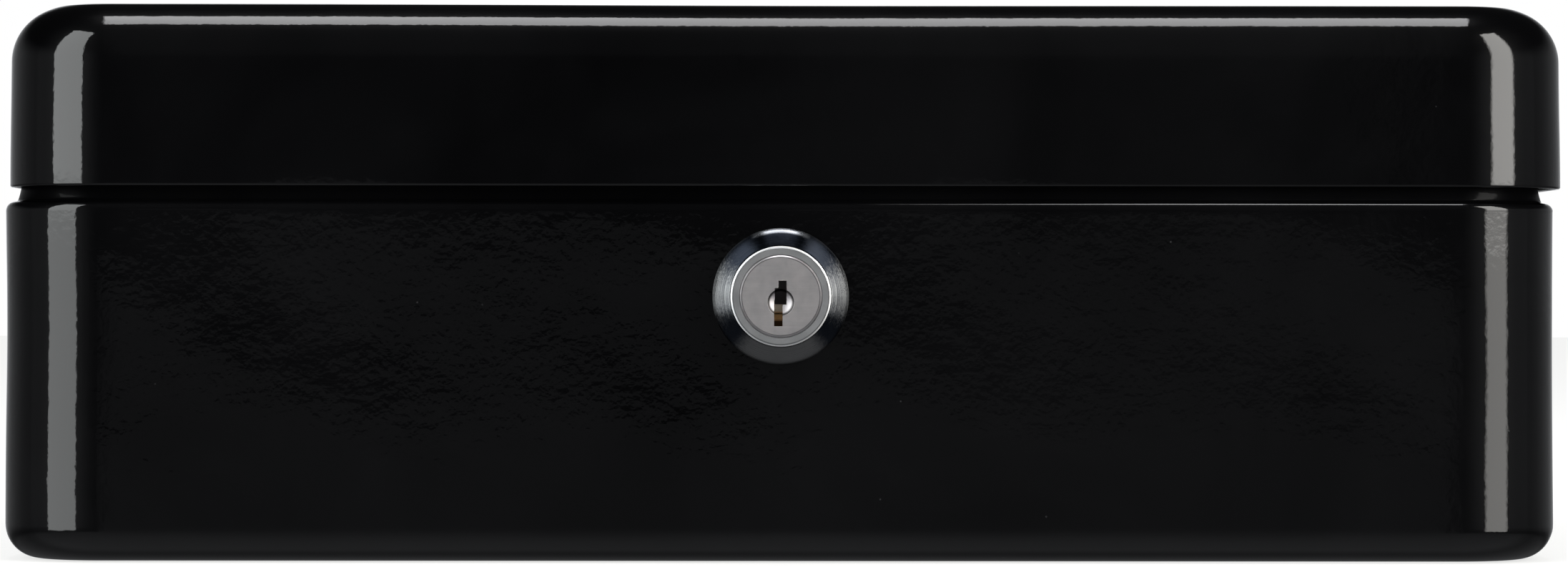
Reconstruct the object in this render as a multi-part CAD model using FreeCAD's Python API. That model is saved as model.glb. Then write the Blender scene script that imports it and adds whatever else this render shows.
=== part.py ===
"""Lockable steel cash box, 250 x 180 x 89 mm, with a hinged lid, a key lock, a folding carry
handle and a lift-out coin tray.

Millimetres. X runs left to right, Y from the front to the back, Z up.
The origin is the centre of the flat underside. The front, with the lock, faces -Y.
Every piece is written to parts/NODE.step in this one frame, with the lid shut, the lock
drawn back (cam upright) and the handle folded.
"""
import FreeCAD
import Part
import math
import os
from FreeCAD import Vector as V

# ---------------------------------------------------------------- driving dimensions
W, D, H = 250.0, 180.0, 89.0        # outside width, depth and height, shut
SHEET = 0.8                         # body and lid sheet
CORNER_R = 17.0                     # upright corners, outside
BOTTOM_R = 5.6                      # bottom edge of the body, outside
TOP_R = 9.2                         # top edge of the lid, outside
LIP_R = 0.36                        # rounding of the free sheet edges
Z_SHOULDER = 57.3                   # top of the body's shoulder
SHOULDER_R = 1.4
NECK_FOOT_R = 0.5                   # hollow rounding where the neck rises from the shoulder
NECK_IN = 2.1                       # the neck stands in from the body's face by this
Z_NECK = 67.0                       # top of the neck
Z_LID = 59.6                        # lower edge of the lid's skirt
LID_SHIFT = V(1.0, 0, 0)            # sideways play: the lid sits this far to the right
FRONT = -D / 2                      # outer face of the front wall
FRONT_IN = FRONT + SHEET            # inner face of the front wall
SIDES = (("left", -1), ("right", 1))
DIAGONAL = math.sqrt(0.5)           # places the middle point of a quarter arc

# stiffening bead pressed up into the floor
BEAD_W, BEAD_D, BEAD_R = 206.0, 136.0, 14.0
BEAD_WIDTH, BEAD_H = 7.0, 1.0
BEAD_WALL = 0.6                     # inner form of the bead is wider than the outer by this

# hinges
HINGE_X = 78.0                      # each side of the middle
AXIS_Y, AXIS_Z = 92.8, 56.45        # hinge axis
STRAP_T = 0.9
PIN_R, BORE_R = 1.5, 1.55
KNUCKLE_R = BORE_R + STRAP_T
LID_KNUCKLE = 7.9                   # half length of the lid's knuckle
BASE_END = 18.0                     # outer end of the body's two knuckles
BASE_SPANS = ((-BASE_END, -8.2), (8.2, BASE_END))
LEAF_IN = D / 2 - SHEET - STRAP_T   # inner face of both leaves

# handle well and handle
WELL_W, WELL_D, WELL_R = 120.0, 54.0, 9.0    # floor of the well
WELL_DEPTH, WELL_DRAFT = 9.0, 2.0
Z_WELL = H - WELL_DEPTH
WIRE_R = 2.5
PIVOT_Y, PIVOT_Z = 15.0, Z_WELL + WIRE_R + 0.2
ARM_X, REACH = 42.0, 31.0           # arm centre lines, pivot to grip
BRACKET_X, BRACKET_L, BRACKET_T = 50.8, 7.0, 1.2
BRACKET_D, WIRE_PLAY = 18.6, 0.08
RIVET_DY, RIVET_HOLE_R = 6.8, 1.25

# lock, on an axis along Y
LOCK_Z = 42.2
NOSE_R, PLUG_R = 7.9, 6.45
NOSE_Y = FRONT - 6.0                # front end of the housing
FACE_Y = FRONT - 6.2                # front face of the plug
BARREL_END = -78.0
FLAT_X = 7.35                       # half width over the barrel's two flats
PLUG_BODY_R = 6.05
GROOVE_R = 6.9                      # depth of the tumbler grooves from the lock's axis
WAFER_R = 5.93
WAFER_Y0, WAFER_PITCH = -92.0, 2.1
WINDOW_LOW = [-1.3, -2.0, -1.6, -2.3, -1.2]  # wafer window sills, from the lock's axis
WAFER_Y = [WAFER_Y0 + WAFER_PITCH * i for i in range(len(WINDOW_LOW))]
SPRING_X = 3.95
TAIL_Y0, CAM_Y0, CAM_T = -77.0, -76.1, 2.0   # start of the plug's tail, front of the cam
TAIL_END = CAM_Y0 + CAM_T
SCREW_HEAD_Y = -73.3
CAM_LEN, CAM_W = 19.0, 7.0

# coin tray
TRAY_W, TRAY_D, TRAY_R = 242.0, 172.0, 13.0
TRAY_Z0, TRAY_Z1, TRAY_T = 35.0, 65.0, 1.6
RAIL_Z = TRAY_Z0 - 0.02             # top of the rails that carry it
NOTCH_X, NOTCH_Y = 26.0, -64.0      # half width and back face of the front notch
CUP_R, CUP_Y0, CUPS = 31.0, 22.4, 5

os.makedirs("parts", exist_ok=True)


# ---------------------------------------------------------------- helpers
def path_wire(start, steps):
    """Wire from start; each step is (end,) for a line or (middle, end) for an arc."""
    edges = []
    for *middle, end in steps:
        curve = Part.Arc(start, middle[0], end) if middle else Part.LineSegment(start, end)
        edges.append(curve.toShape())
        start = end
    return Part.Wire(edges)


def rounded_wire(w, d, r, z, cx=0.0, cy=0.0):
    """Level rectangle with rounded corners."""
    x0, x1, y0, y1 = cx - w / 2, cx + w / 2, cy - d / 2, cy + d / 2
    k = r * (1 - DIAGONAL)
    return path_wire(V(x0 + r, y0, z), [
        (V(x1 - r, y0, z),), (V(x1 - k, y0 + k, z), V(x1, y0 + r, z)),
        (V(x1, y1 - r, z),), (V(x1 - k, y1 - k, z), V(x1 - r, y1, z)),
        (V(x0 + r, y1, z),), (V(x0 + k, y1 - k, z), V(x0, y1 - r, z)),
        (V(x0, y0 + r, z),), (V(x0 + k, y0 + k, z), V(x0 + r, y0, z))])


def rounded_block(w, d, r, z0, z1, cx=0.0, cy=0.0):
    return Part.Face(rounded_wire(w, d, r, z0, cx, cy)).extrude(V(0, 0, z1 - z0))


def box(x0, x1, y0, y1, z0, z1):
    return Part.makeBox(x1 - x0, y1 - y0, z1 - z0, V(x0, y0, z0))


def lock_box(x0, x1, y0, y1, z0, z1):
    """Box with its heights taken from the lock's axis."""
    return box(x0, x1, y0, y1, LOCK_Z + z0, LOCK_Z + z1)


def lock_cyl(r, y0, y1):
    """Cylinder on the lock's axis."""
    return Part.makeCylinder(r, y1 - y0, V(0, y0, LOCK_Z), V(0, 1, 0))


def cyl_x(r, x0, x1, y, z):
    return Part.makeCylinder(r, x1 - x0, V(x0, y, z), V(1, 0, 0))


def cyl_z(r, h, x, y, z):
    return Part.makeCylinder(r, h, V(x, y, z))


def turned(shape, axis, angle, offset):
    """The shape turned about the origin, then moved by offset."""
    shape.rotate(V(0, 0, 0), axis, angle)
    shape.translate(offset)
    return shape


def plane_edges(shape, axis, at, tol=1e-4):
    """Edges lying in the plane where the axis coordinate is at."""
    return [e for e in shape.Edges if getattr(e.BoundBox, axis + "Length") < tol
            and abs(getattr(e.BoundBox, axis + "Min") - at) < tol]


def flat_edges(shape, z):
    return plane_edges(shape, "Z", z)


def flat_edges_within(shape, z, half_x, half_y):
    """Level edges at z that stay within half_x and half_y of the middle."""
    return [e for e in flat_edges(shape, z)
            if max(abs(e.BoundBox.XMin), abs(e.BoundBox.XMax)) <= half_x
            and max(abs(e.BoundBox.YMin), abs(e.BoundBox.YMax)) <= half_y]


def straight_edges(shape, along, across=None, at=0.0):
    """Edges parallel to one axis, if wanted only those where the across coordinate is at."""
    others = [axis for axis in "XYZ" if axis != along]
    return [e for e in shape.Edges
            if all(getattr(e.BoundBox, axis + "Length") < 1e-6 for axis in others)
            and (across is None or abs(getattr(e.BoundBox, across + "Min") - at) < 1e-6)]


def poly_prism(points, direction):
    """Closed polygon of 3-D points, extruded."""
    outline = Part.makePolygon([V(*p) for p in points] + [V(*points[0])])
    return Part.Face(outline).extrude(V(*direction))


def lock_revolve(profile):
    """Closed profile of (radius, y) pairs turned round the lock's axis."""
    outline = Part.makePolygon([V(r, y, LOCK_Z) for r, y in profile + profile[:1]])
    return Part.Face(outline).revolve(V(0, 0, LOCK_Z), V(0, 1, 0), 360)


def one(shape):
    """The single solid of a boolean result, tidied."""
    solids = shape.removeSplitter().Solids
    assert len(solids) == 1, len(solids)
    return solids[0]


def put(name, *shapes):
    """Write the shapes' solids as one node."""
    solids = []
    for shape in shapes:
        if shape.ShapeType != "Solid":
            shape = shape.removeSplitter()
        solids += shape.Solids
    for solid in solids:
        assert solid.isValid() and solid.Volume > 0, name
    node = solids[0] if len(solids) == 1 else Part.makeCompound(solids)
    node.exportStep(f"parts/{name}.step")


# ---------------------------------------------------------------- body shell
def body_form(inset, bottom, neck_bottom, neck_top):
    """Filled body and neck, set in from the outside by inset."""
    shoulder = Z_SHOULDER - inset
    form = rounded_block(W - 2 * inset, D - 2 * inset, CORNER_R - inset, bottom, shoulder)
    form = form.makeFillet(BOTTOM_R - inset, flat_edges(form, bottom))
    form = form.makeFillet(SHOULDER_R - inset, flat_edges(form, shoulder))
    neck_in = NECK_IN + inset
    neck = rounded_block(W - 2 * neck_in, D - 2 * neck_in, CORNER_R - neck_in,
                         neck_bottom, neck_top)
    return one(form.fuse(neck))


def bead_ring(grow, z0, z1, top_r):
    """Ring of the floor bead, widened on both sides by grow."""
    inner = 2 * BEAD_WIDTH + 2 * grow
    ring = rounded_block(BEAD_W + 2 * grow, BEAD_D + 2 * grow, BEAD_R + grow, z0, z1).cut(
        rounded_block(BEAD_W - inner, BEAD_D - inner, BEAD_R - BEAD_WIDTH - grow,
                      z0 - 1, z1 + 1))
    return ring.makeFillet(top_r, flat_edges(ring, z1))


def base_shell():
    outer = body_form(0.0, 0, Z_SHOULDER - 3, Z_NECK)
    foot = flat_edges_within(outer, Z_SHOULDER, W / 2 - NECK_IN + 0.01, D / 2 - NECK_IN + 0.01)
    outer = outer.makeFillet(NECK_FOOT_R, foot)
    body = one(outer.cut(body_form(SHEET, SHEET, Z_SHOULDER - 4, Z_NECK + 2)))

    hollow = bead_ring(0.0, -1, BEAD_H, 0.7)
    raised = bead_ring(BEAD_WALL, 0.3, BEAD_H + SHEET, 1.2)
    body = one(body.fuse(raised).cut(hollow))
    body = body.makeFillet(LIP_R, flat_edges(body, Z_NECK))

    # round hole with two flats for the lock's barrel
    play = 0.12
    body = body.cut(lock_cyl(NOSE_R + play, FRONT - 1, FRONT_IN + 1).common(
        lock_box(-FLAT_X - play, FLAT_X + play, FRONT - 2, FRONT_IN + 2, -12, 12)))
    # slots in the shoulder, where the hinge straps come out
    side_play = 0.3
    for _, side in SIDES:
        for x0, x1 in BASE_SPANS:
            hx = side * HINGE_X
            body = body.cut(box(hx + x0 - side_play, hx + x1 + side_play,
                                LEAF_IN - 0.2, D / 2 - SHEET + 0.1,
                                Z_SHOULDER - 1.7, Z_SHOULDER + 0.9))
    return one(body)


# ---------------------------------------------------------------- lid shell
def well(grow, z_top, floor_r):
    """Drafted handle well, enlarged by grow at the sides and the floor."""
    z_floor = Z_WELL - grow
    flare = (z_top - z_floor) / WELL_DEPTH * WELL_DRAFT
    sizes = ((grow, z_floor), (grow + flare, z_top))
    form = Part.makeLoft([rounded_wire(WELL_W + 2 * g, WELL_D + 2 * g, WELL_R + g, z)
                          for g, z in sizes], True, True)
    return form.makeFillet(floor_r, flat_edges(form, z_floor))


def lid_form(inset, z_bottom, floor_r, rim_r):
    """Filled lid with its well, set in from the outside by inset."""
    top = H - inset
    form = rounded_block(W - 2 * inset, D - 2 * inset, CORNER_R - inset, z_bottom, top)
    form = form.makeFillet(TOP_R - inset, flat_edges(form, top))
    form = one(form.cut(well(inset, H + 2, floor_r)))
    return form.makeFillet(rim_r, flat_edges_within(form, top, 70, 40))


def rivet_hole(side, dy):
    """Drill for a handle rivet, before the lid's sideways play."""
    return cyl_z(RIVET_HOLE_R, 6, side * BRACKET_X, PIVOT_Y + dy, Z_WELL - 2)


def lid_shell():
    outer = lid_form(0.0, Z_LID, 2.5, 1.8)
    lid = one(outer.cut(lid_form(SHEET, Z_LID - 2, 3.3, 1.0)))
    lid = lid.makeFillet(LIP_R, flat_edges(lid, Z_LID))
    for _, side in SIDES:
        for dy in (-RIVET_DY, RIVET_DY):
            lid = lid.cut(rivet_hole(side, dy))
    lid = one(lid)
    lid.translate(LID_SHIFT)
    return lid


# ---------------------------------------------------------------- hinges
def strap(x0, x1, z_from, up):
    """Hinge strap: an upright part on the leaf, a bend, and a level run out to the top of
    the knuckle. It comes up from z_from, or down from it."""
    sign = 1 if up else -1
    low, high = AXIS_Z + BORE_R, AXIS_Z + KNUCKLE_R      # level run
    z_near, z_far = (low, high) if up else (high, low)  # inside and outside of the bend
    y_in, y_out = LEAF_IN, LEAF_IN + STRAP_T
    bend_in, bend_out = 0.5, 0.5 + STRAP_T
    yc, zc = y_out + bend_in, z_near - sign * bend_in   # bend centre

    def middle(r):
        return V(x0, yc - r * DIAGONAL, zc + sign * r * DIAGONAL)

    outline = path_wire(V(x0, y_in, z_from), [
        (V(x0, y_in, zc),), (middle(bend_out), V(x0, yc, z_far)),
        (V(x0, AXIS_Y, z_far),), (V(x0, AXIS_Y, z_near),),
        (V(x0, yc, z_near),), (middle(bend_in), V(x0, y_out, zc)),
        (V(x0, y_out, z_from),), (V(x0, y_in, z_from),)])
    return Part.Face(outline).extrude(V(x1 - x0, 0, 0))


def at_hinge(shape, angle):
    """Turn a shape about X and set it on the hinge axis."""
    return turned(shape, V(1, 0, 0), angle, V(0, AXIS_Y, AXIS_Z))


def hinge_leaf(plate, corner_z, corner_r, spans, strap_z, up, lug=None):
    """Plate with rounded corners at corner_z, and a strap and knuckle at each (x0, x1) span."""
    leaf = plate.makeFillet(corner_r, straight_edges(plate, "Y", "Z", corner_z))
    for x0, x1 in spans:
        leaf = leaf.fuse(strap(x0, x1, strap_z, up))
        leaf = leaf.fuse(cyl_x(KNUCKLE_R, x0, x1, AXIS_Y, AXIS_Z))
    if lug:
        leaf = leaf.fuse(lug)
    leaf = leaf.cut(cyl_x(BORE_R, spans[0][0] - 12, spans[-1][1] + 12, AXIS_Y, AXIS_Z))
    # the curl's free end stops short of the strap
    for x0, x1 in spans:
        leaf = leaf.cut(at_hinge(box(x0 - 1, x1 + 1, -4.0, -0.9, -0.25, 0.25), -28))
    return one(leaf)


def base_leaf(hx):
    """Leaf inside the body's back wall, with two knuckles."""
    z0 = 36
    plate = box(hx - BASE_END, hx + BASE_END, LEAF_IN, LEAF_IN + STRAP_T, z0, 54.7)
    spans = [(hx + x0, hx + x1) for x0, x1 in BASE_SPANS]
    return hinge_leaf(plate, z0, 4.0, spans, 50, True)


def lid_leaf(hx):
    """Leaf inside the lid's back skirt, with one knuckle and its stop lug."""
    z1 = 76
    plate = box(hx - 16, hx + 16, LEAF_IN, LEAF_IN + STRAP_T, 62.5, z1)
    x0, x1 = hx - LID_KNUCKLE, hx + LID_KNUCKLE
    lug = at_hinge(box(x0 + 1.5, x1 - 1.5, 2.0, 3.7, -0.6, 0.6), -23.5)
    return hinge_leaf(plate, z1, 3.0, [(x0, x1)], 65, False, lug)


def hinge_pin(hx):
    half, head_r, head_t = BASE_END + 0.1, 2.1, 0.8
    pin = cyl_x(PIN_R, hx - half, hx + half, AXIS_Y, AXIS_Z)
    for side in (-1, 1):
        near = hx + side * half
        far = near + side * head_t
        head = cyl_x(head_r, min(near, far), max(near, far), AXIS_Y, AXIS_Z)
        pin = pin.fuse(head.makeFillet(0.6, plane_edges(head, "X", far)))
    return one(pin)


# ---------------------------------------------------------------- carry handle
def carry_handle():
    """Bent wire, swept from its left end to its right end."""
    pivot_bend, grip_bend = 4.5, 6.0
    end_x, grip_y = BRACKET_X + 4.4, PIVOT_Y - REACH
    pivot_x, grip_x = ARM_X + pivot_bend, ARM_X - grip_bend
    pivot_mid_x = pivot_x - pivot_bend * DIAGONAL
    pivot_mid_y = PIVOT_Y - pivot_bend + pivot_bend * DIAGONAL
    grip_mid_x = grip_x + grip_bend * DIAGONAL
    grip_mid_y = grip_y + grip_bend - grip_bend * DIAGONAL

    def at(x, y):
        return V(x, y, PIVOT_Z)

    path = path_wire(at(-end_x, PIVOT_Y), [
        (at(-pivot_x, PIVOT_Y),),
        (at(-pivot_mid_x, pivot_mid_y), at(-ARM_X, PIVOT_Y - pivot_bend)),
        (at(-ARM_X, grip_y + grip_bend),),
        (at(-grip_mid_x, grip_mid_y), at(-grip_x, grip_y)),
        (at(grip_x, grip_y),),
        (at(grip_mid_x, grip_mid_y), at(ARM_X, grip_y + grip_bend)),
        (at(ARM_X, PIVOT_Y - pivot_bend),),
        (at(pivot_mid_x, pivot_mid_y), at(pivot_x, PIVOT_Y)),
        (at(end_x, PIVOT_Y),)])
    ring = Part.Wire([Part.Circle(at(-end_x, PIVOT_Y), V(1, 0, 0), WIRE_R).toShape()])
    bail = path.makePipeShell([ring], True, False)
    ends = [e for e in bail.Edges if e.BoundBox.XLength < 1e-4
            and abs(abs(e.BoundBox.XMin) - end_x) < 1e-3]
    bail = bail.makeFillet(0.7, ends)
    bail.translate(LID_SHIFT)
    return bail


def handle_bracket(side):
    """Strap arched over the wire, with a flat foot in front and behind."""
    x0, x1 = side * BRACKET_X - BRACKET_L / 2, side * BRACKET_X + BRACKET_L / 2
    ri = WIRE_R + WIRE_PLAY
    ro = ri + BRACKET_T
    z_foot = Z_WELL + BRACKET_T
    bracket = box(x0, x1, PIVOT_Y - BRACKET_D / 2, PIVOT_Y + BRACKET_D / 2, Z_WELL, z_foot)
    bracket = bracket.makeFillet(2.2, straight_edges(bracket, "Z"))
    bracket = bracket.fuse(cyl_x(ro, x0, x1, PIVOT_Y, PIVOT_Z))
    bracket = bracket.fuse(box(x0, x1, PIVOT_Y - ro, PIVOT_Y + ro, Z_WELL, PIVOT_Z))
    bracket = bracket.common(box(x0 - 1, x1 + 1, PIVOT_Y - 20, PIVOT_Y + 20, Z_WELL, H))
    bracket = bracket.cut(cyl_x(ri, x0 - 1, x1 + 1, PIVOT_Y, PIVOT_Z))
    bracket = bracket.cut(box(x0 - 1, x1 + 1, PIVOT_Y - ri, PIVOT_Y + ri, Z_WELL - 1, PIVOT_Z))
    bracket = bracket.removeSplitter()
    inside = [e for e in bracket.Edges if e.BoundBox.XLength > BRACKET_L - 0.1
              and abs(e.BoundBox.ZMin - z_foot) < 1e-4
              and abs(abs(e.BoundBox.YMin - PIVOT_Y) - ro) < 1e-3]
    bracket = bracket.makeFillet(0.8, inside)
    for dy in (-RIVET_DY, RIVET_DY):
        bracket = bracket.cut(rivet_hole(side, dy))
    bracket = one(bracket)
    bracket.translate(LID_SHIFT)
    return bracket


def rivet(side, dy):
    """Shank through bracket and lid, domed on top, flat foot below."""
    x, y = side * BRACKET_X + LID_SHIFT.x, PIVOT_Y + dy
    top, bottom, foot_t = Z_WELL + BRACKET_T, Z_WELL - SHEET, 0.7
    shank = cyl_z(1.2, top - bottom, x, y, bottom)
    dome = Part.makeSphere(2.5, V(x, y, top - 1.5)).common(cyl_z(2.0, 2, x, y, top))
    foot = cyl_z(1.9, foot_t, x, y, bottom - foot_t)
    foot = foot.makeFillet(0.3, flat_edges(foot, bottom - foot_t))
    return one(shank.fuse(dome).fuse(foot))


# ---------------------------------------------------------------- lock: fixed parts
def sector(r0, r1, a0, a1, y0, y1):
    """Ring sector round the lock's axis; angles from +X towards +Z, in degrees."""
    steps, reach = 12, r1 * 1.6     # the wedge reaches past the ring
    wedge = []
    for i in range(steps + 1):
        angle = math.radians(a0 + (a1 - a0) * i / steps)
        wedge.append((reach * math.cos(angle), y0, LOCK_Z + reach * math.sin(angle)))
    wedge.append((0, y0, LOCK_Z))
    ring = lock_cyl(r1, y0, y1).cut(lock_cyl(r0, y0 - 1, y1 + 1))
    return poly_prism(wedge, (0, y1 - y0, 0)).common(ring)


def lock_housing():
    collar_r, collar_y = 8.9, FRONT - 1.1
    thread_depth, thread_pitch = 0.42, 1.25
    plug_play = 0.05
    root_r = NOSE_R - thread_depth
    thread = []
    y = FRONT + 2.4
    while y < BARREL_END - 1.6:
        thread += [(NOSE_R, y), (root_r, y + 0.4), (root_r, y + 0.5), (NOSE_R, y + 0.9)]
        y += thread_pitch
    # (radius, y)
    profile = [
        (PLUG_R + 0.17, NOSE_Y), (NOSE_R - 0.35, NOSE_Y), (NOSE_R, NOSE_Y + 0.35),
        (NOSE_R, collar_y), (collar_r, collar_y), (collar_r, FRONT), (NOSE_R, FRONT),
        *thread,
        (NOSE_R, BARREL_END - 0.5), (NOSE_R - 0.5, BARREL_END),
        (PLUG_BODY_R + plug_play, BARREL_END), (PLUG_BODY_R + plug_play, FACE_Y + 1.7),
        (PLUG_R + plug_play, FACE_Y + 1.7), (PLUG_R + plug_play, NOSE_Y + 0.12)]
    # two flats on the barrel, behind the front wall's outer face
    keep = lock_box(-FLAT_X, FLAT_X, FRONT, 0, -20, 20).fuse(
        lock_box(-30, 30, -120, FRONT, -20, 20))
    housing = lock_revolve(profile).common(keep)
    # grooves that the tumblers lock into, a quarter turn apart
    for gx, gz in ((3.5, GROOVE_R), (GROOVE_R, 3.5)):
        groove = lock_box(-gx, gx, -93.2, BARREL_END + 1, -gz, gz)
        housing = housing.cut(groove.cut(lock_cyl(5.0, -100, -70)))
    # the two stops for the stop washer's tab
    for a0, a1 in ((57, 116), (-116, -57)):
        housing = housing.fuse(sector(NOSE_R - 0.75, NOSE_R - 0.05, a0, a1,
                                      BARREL_END - 0.6, BARREL_END + 1.8))
    return one(housing.common(keep))


def lock_rosette():
    """Turned cone that steepens towards its outer edge."""
    # (radius, height in front of the wall)
    slope = [
        (10.8, 0.0), (10.8, 0.30), (10.77, 0.42), (10.70, 0.56), (10.60, 0.70),
        (10.50, 0.82), (10.35, 0.965), (10.20, 1.095), (10.0, 1.256), (9.75, 1.446),
        (9.5, 1.629), (9.0, 1.981), (8.5, 2.319), (8.15, 2.55), (8.05, 2.58),
        (NOSE_R + 0.05, 2.48), (NOSE_R + 0.05, 1.2), (9.0, 1.2), (9.0, 0)]
    return lock_revolve([(r, FRONT - height) for r, height in slope])


LOCK_WASHER_T = 0.9


def lock_washer():
    """Washer with twelve notches round its edge, behind the front wall."""
    washer = lock_cyl(10.7, FRONT_IN, FRONT_IN + LOCK_WASHER_T)
    washer = washer.cut(lock_cyl(NOSE_R + 0.15, FRONT_IN - 1, FRONT_IN + 2))
    notches = 12
    for i in range(notches):
        notch = box(-0.7, 0.7, FRONT_IN - 1, FRONT_IN + 2, 9.4, 12.5)
        washer = washer.cut(turned(notch, V(0, 1, 0), i * 360 / notches, V(0, 0, LOCK_Z)))
    return one(washer)


def lock_nut():
    """Hexagon nut, its corners turned away at the back."""
    y0 = FRONT_IN + LOCK_WASHER_T
    corner_r, thick, bore_r = 11.0, 3.0, NOSE_R + 0.08
    blank_r, plain, axis = 11.2, 1.4, V(0, 1, 0)
    angles = [math.radians(30 + 60 * i) for i in range(6)]
    nut = poly_prism([(corner_r * math.cos(a), y0, LOCK_Z + corner_r * math.sin(a))
                      for a in angles], (0, thick, 0))
    bevel = Part.makeCone(blank_r, 9.7, thick - plain, V(0, y0 + plain, LOCK_Z), axis)
    nut = nut.common(bevel.fuse(lock_cyl(blank_r, y0, y0 + plain)))
    nut = nut.cut(lock_cyl(bore_r, y0 - 1, y0 + 5))
    nut = nut.cut(Part.makeCone(bore_r, NOSE_R + 0.6, 0.5, V(0, y0 + 2.5, LOCK_Z), axis))
    return one(nut)


# ---------------------------------------------------------------- lock: turning parts
def lock_plug():
    tail_r, clip_r, clip_y0, clip_y1 = 4.0, 5.2, -77.95, -77.1
    # (radius, y)
    plug = lock_revolve([
        (0, FACE_Y), (PLUG_R - 0.22, FACE_Y), (PLUG_R, FACE_Y + 0.22), (PLUG_R, FACE_Y + 1.6),
        (PLUG_BODY_R, FACE_Y + 1.6), (PLUG_BODY_R, clip_y0), (clip_r, clip_y0),
        (clip_r, clip_y1), (PLUG_BODY_R, clip_y1), (PLUG_BODY_R, TAIL_Y0), (tail_r, TAIL_Y0),
        (tail_r, TAIL_END - 0.3), (tail_r - 0.3, TAIL_END), (0, TAIL_END)])
    # two flats on the tail
    plug = plug.cut(lock_box(-10, 10, TAIL_Y0, -70, -10, 10).cut(
        lock_box(-3.0, 3.0, -78, -69, -10, 10)))
    # keyway: x0, x1, z0, z1 of its three steps, from the lock's axis
    key_end = -82.6
    for x0, x1, z0, z1 in ((-0.37, 0.92, 0.6, 2.45),
                           (-0.97, 0.92, -1.3, 1.3),
                           (-1.06, 0.28, -4.7, -0.6)):
        plug = plug.cut(lock_box(x0, x1, FACE_Y - 1, key_end, z0, z1))
    # dished mouth of the keyway, and the bore for the cam screw
    plug = plug.cut(Part.makeSphere(3.4, V(0, FACE_Y - 2.65, LOCK_Z - 0.95)))
    plug = plug.cut(lock_cyl(1.55, -80.2, -70))
    # slot, side pocket and spring bore for each wafer
    slot = 0.55
    for y in WAFER_Y:
        plug = plug.cut(lock_box(-3.3, 3.3, y - slot, y + slot, -7, 7))
        plug = plug.cut(lock_box(3.2, 4.7, y - slot, y + slot, -3.1, 2.4))
        plug = plug.cut(cyl_z(0.72, 4.5, SPRING_X, y, LOCK_Z - 3.5))
    return one(plug)


def wafer(y, window_low):
    """Round-ended plate with a window and a spring arm on its right."""
    half = 0.5
    plate = lock_box(-3.2, 3.2, y - half, y + half, -6.5, 6.5)
    plate = plate.common(lock_cyl(WAFER_R, y - 1, y + 1))
    plate = plate.fuse(lock_box(3.0, 4.55, y - half, y + half, 0.7, 1.5))
    window = lock_box(-1.7, 1.7, y - 1, y + 1, window_low, window_low + 5.0)
    window = window.makeFillet(0.5, straight_edges(window, "Y"))
    return one(plate.cut(window))


def wafer_spring(y):
    pitch, turns, coil_r, wire_r = 0.76, 5, 0.42, 0.12
    helix = Part.makeHelix(pitch, pitch * turns, coil_r)
    section = Part.Wire([Part.Circle(V(coil_r, 0, 0), V(0, 1, 0), wire_r).toShape()])
    spring = Part.Wire(helix).makePipeShell([section], True, True)
    spring.translate(V(SPRING_X, y, LOCK_Z - 3.35))
    return spring


def retaining_clip():
    """Ring open at the top, in the groove near the plug's back end."""
    clip = lock_cyl(NOSE_R - 0.95, -77.9, -77.2).cut(lock_cyl(5.25, -79, -76))
    return one(clip.cut(lock_box(-3.4, 3.4, -79, -76, 2, 12)))


def tail_hole():
    """Two-flatted hole that fits the plug's tail."""
    return lock_cyl(4.05, -80, -70).common(lock_box(-3.05, 3.05, -80, -70, -8, 8))


def stop_washer():
    tab = box(5.0, NOSE_R - 0.1, TAIL_Y0, CAM_Y0, -1.45, 1.45)
    tab = turned(tab, V(0, 1, 0), 45, V(0, 0, LOCK_Z))
    return one(lock_cyl(6.6, TAIL_Y0, CAM_Y0).fuse(tab).cut(tail_hole()))


def lock_cam():
    hub = lock_cyl(6.4, CAM_Y0, TAIL_END)
    arm = lock_box(-CAM_W / 2, CAM_W / 2, CAM_Y0, TAIL_END, 0, CAM_LEN)
    arm = arm.makeFillet(2.4, straight_edges(arm, "Y", "Z", LOCK_Z + CAM_LEN))
    return hub.fuse(arm).cut(tail_hole()).removeSplitter()


def cam_washer():
    return lock_cyl(4.6, TAIL_END, SCREW_HEAD_Y).cut(lock_cyl(1.65, -80, -70))


def cam_screw():
    """Cross-slotted screw."""
    head_end, slot_y, slot_half, slot_reach = -71.1, -72.3, 0.45, 2.0
    shank = lock_cyl(1.5, -80.0, SCREW_HEAD_Y)
    head = lock_cyl(3.1, SCREW_HEAD_Y, head_end)
    head = head.makeFillet(0.8, plane_edges(head, "Y", head_end))
    for sx, sz in ((slot_half, slot_reach), (slot_reach, slot_half)):
        head = head.cut(lock_box(-sx, sx, slot_y, -70, -sz, sz))
    return one(shank.fuse(head))


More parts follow.
